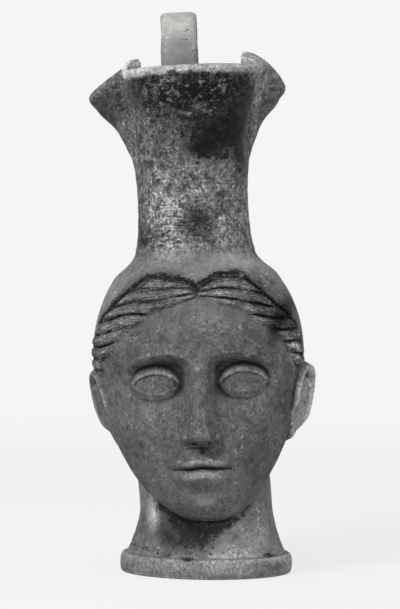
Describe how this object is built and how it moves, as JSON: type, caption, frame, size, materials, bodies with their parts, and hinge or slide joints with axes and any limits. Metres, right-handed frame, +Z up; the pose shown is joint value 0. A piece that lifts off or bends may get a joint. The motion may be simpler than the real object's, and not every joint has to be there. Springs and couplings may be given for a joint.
{
  "type": "head-shaped oinochoe",
  "caption": "Hollow fired-clay jug shaped as a woman's head in a smooth cap, with a round foot, a tall neck, a pinched three-lobed mouth and a high strap handle behind.",
  "frame": {"origin": "centre of the foot's flat underside", "axes": "+Z up, -Y the way the face looks, +X to the right as a viewer faces it"},
  "size_m": [0.1046, 0.1385, 0.261],
  "materials": {
    "fired_clay": "worn dark gloss over paler clay, pitted and dusty"
  },
  "bodies": {
    "root": {"oinochoe": "fired_clay"}
  },
  "joints": []
}
